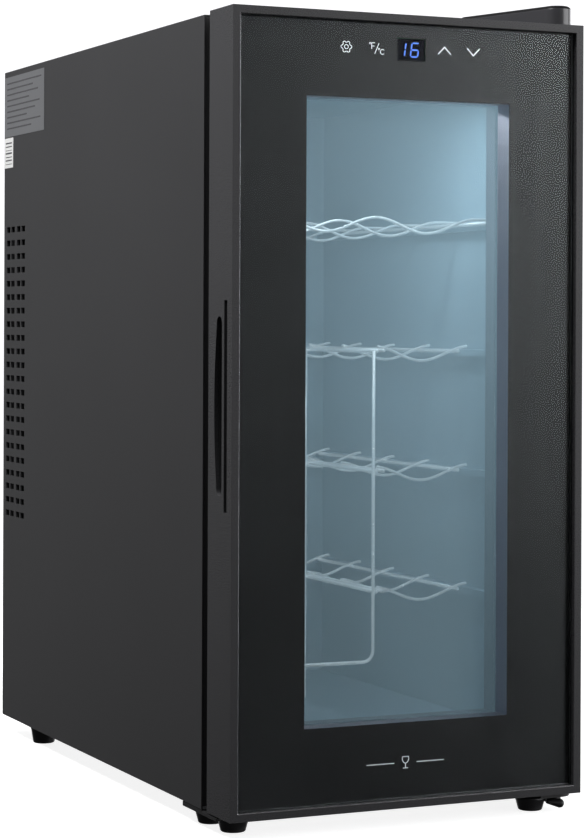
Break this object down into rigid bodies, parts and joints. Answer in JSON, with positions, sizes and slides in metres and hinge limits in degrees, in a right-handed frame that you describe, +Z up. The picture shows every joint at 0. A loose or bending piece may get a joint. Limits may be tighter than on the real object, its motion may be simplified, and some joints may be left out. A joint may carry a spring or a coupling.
{
  "type": "wine cooler",
  "caption": "Narrow free-standing wine cooler: charcoal steel cabinet, right-hung glass door with touch keys and display, wire racks, rear vents.",
  "frame": {"origin": "centre of the bounding box on the floor plane, under the feet", "axes": "+Z up, the door faces -Y, +X is to the right of someone facing the door"},
  "size_m": [0.28, 0.51, 0.5933],
  "materials": {
    "cabinet_paint": "satin",
    "galvanised_steel": "satin",
    "liner_plastic": "satin",
    "foam": "matte",
    "black_steel": "satin",
    "black_plastic": "satin",
    "rotor_plastic": "satin",
    "white_plastic": "satin",
    "circuit_board": "satin",
    "winding": "satin",
    "aluminium": "satin",
    "ceramic_white": "matte",
    "wire_chrome": "polished",
    "door_paint": "satin",
    "clear_glass": "gloss",
    "mask_print": "gloss",
    "spacer_metal": "satin",
    "door_trim": "satin",
    "gasket_rubber": "matte",
    "display_face": "gloss",
    "screw_steel": "satin",
    "led_lens": "satin"
  },
  "bodies": {
    "cabinet": {"cabinet_shell": "cabinet_paint", "bottom_panel": "galvanised_steel", "rear_partition": "galvanised_steel", "upper_hinge_bracket": "galvanised_steel", "inner_liner": "liner_plastic", "fan_cover": "liner_plastic", "insulation_foam": "foam", "rear_cover": "black_steel", "lower_hinge_bracket": "black_steel", "left_foot_bracket": "black_steel", "mains_inlet": "black_plastic", "cold_fan_frame": "black_plastic", "hot_fan_frame": "black_plastic", "upper_hinge_cover": "black_plastic", "front_foot_left": "black_plastic", "front_foot_right": "black_plastic", "cabinet_foot_left": "black_plastic", "cabinet_foot_right": "black_plastic", "rear_foot_left": "black_plastic", "rear_foot_right": "black_plastic", "led_board": "white_plastic", "temperature_sensor": "white_plastic", "power_board": "circuit_board", "transformer": "winding", "cold_heatsink": "aluminium", "cold_block": "aluminium", "hot_heatsink": "aluminium", "peltier_module": "ceramic_white", "bottle_divider": "wire_chrome", "upper_hinge_pin": "screw_steel", "lower_hinge_pin": "screw_steel", "upper_hinge_screw_1": "screw_steel", "upper_hinge_screw_2": "screw_steel", "lower_hinge_screw_1": "screw_steel", "lower_hinge_screw_2": "screw_steel", "rear_cover_screw_1": "screw_steel", "rear_cover_screw_2": "screw_steel", "rear_cover_screw_3": "screw_steel", "rear_cover_screw_4": "screw_steel", "led_lens": "led_lens"},
    "door": {"door_frame": "door_paint", "front_glass": "clear_glass", "glass_mask": "mask_print", "door_core": "white_plastic", "glass_spacer": "spacer_metal", "inner_glass": "clear_glass", "door_inner_frame": "door_trim", "door_gasket": "gasket_rubber", "display_module": "display_face", "control_board": "circuit_board", "handle_cup": "black_plastic", "upper_hinge_bush": "white_plastic", "lower_hinge_bush": "white_plastic"},
    "top_rack": {"top_rack": "wire_chrome"},
    "side_rack_upper": {"side_rack_upper": "wire_chrome"},
    "side_rack_middle": {"side_rack_middle": "wire_chrome"},
    "side_rack_lower": {"side_rack_lower": "wire_chrome"},
    "cold_fan_rotor": {"cold_fan_rotor": "rotor_plastic"},
    "hot_fan_rotor": {"hot_fan_rotor": "rotor_plastic"}
  },
  "joints": [
    {"name": "door_hinge", "type": "hinge", "parent": "cabinet", "child": "door", "pos_m": [0.128, -0.236, 0.3], "axis": [0, 0, 1], "range_deg": [0, 110]},
    {"name": "top_rack_slide", "type": "slide", "parent": "cabinet", "child": "top_rack", "axis": [0, -1, 0], "range_m": [0, 0.014]},
    {"name": "side_rack_upper_slide", "type": "slide", "parent": "cabinet", "child": "side_rack_upper", "axis": [0, -1, 0], "range_m": [0, 0.06]},
    {"name": "side_rack_middle_slide", "type": "slide", "parent": "cabinet", "child": "side_rack_middle", "axis": [0, -1, 0], "range_m": [0, 0.06]},
    {"name": "side_rack_lower_slide", "type": "slide", "parent": "cabinet", "child": "side_rack_lower", "axis": [0, -1, 0], "range_m": [0, 0.06]},
    {"name": "cold_fan_spin", "type": "hinge", "parent": "cabinet", "child": "cold_fan_rotor", "pos_m": [0, 0.09, 0.454], "axis": [0, 1, 0], "continuous": true},
    {"name": "hot_fan_spin", "type": "hinge", "parent": "cabinet", "child": "hot_fan_rotor", "pos_m": [0, 0.21, 0.454], "axis": [0, 1, 0], "continuous": true}
  ]
}
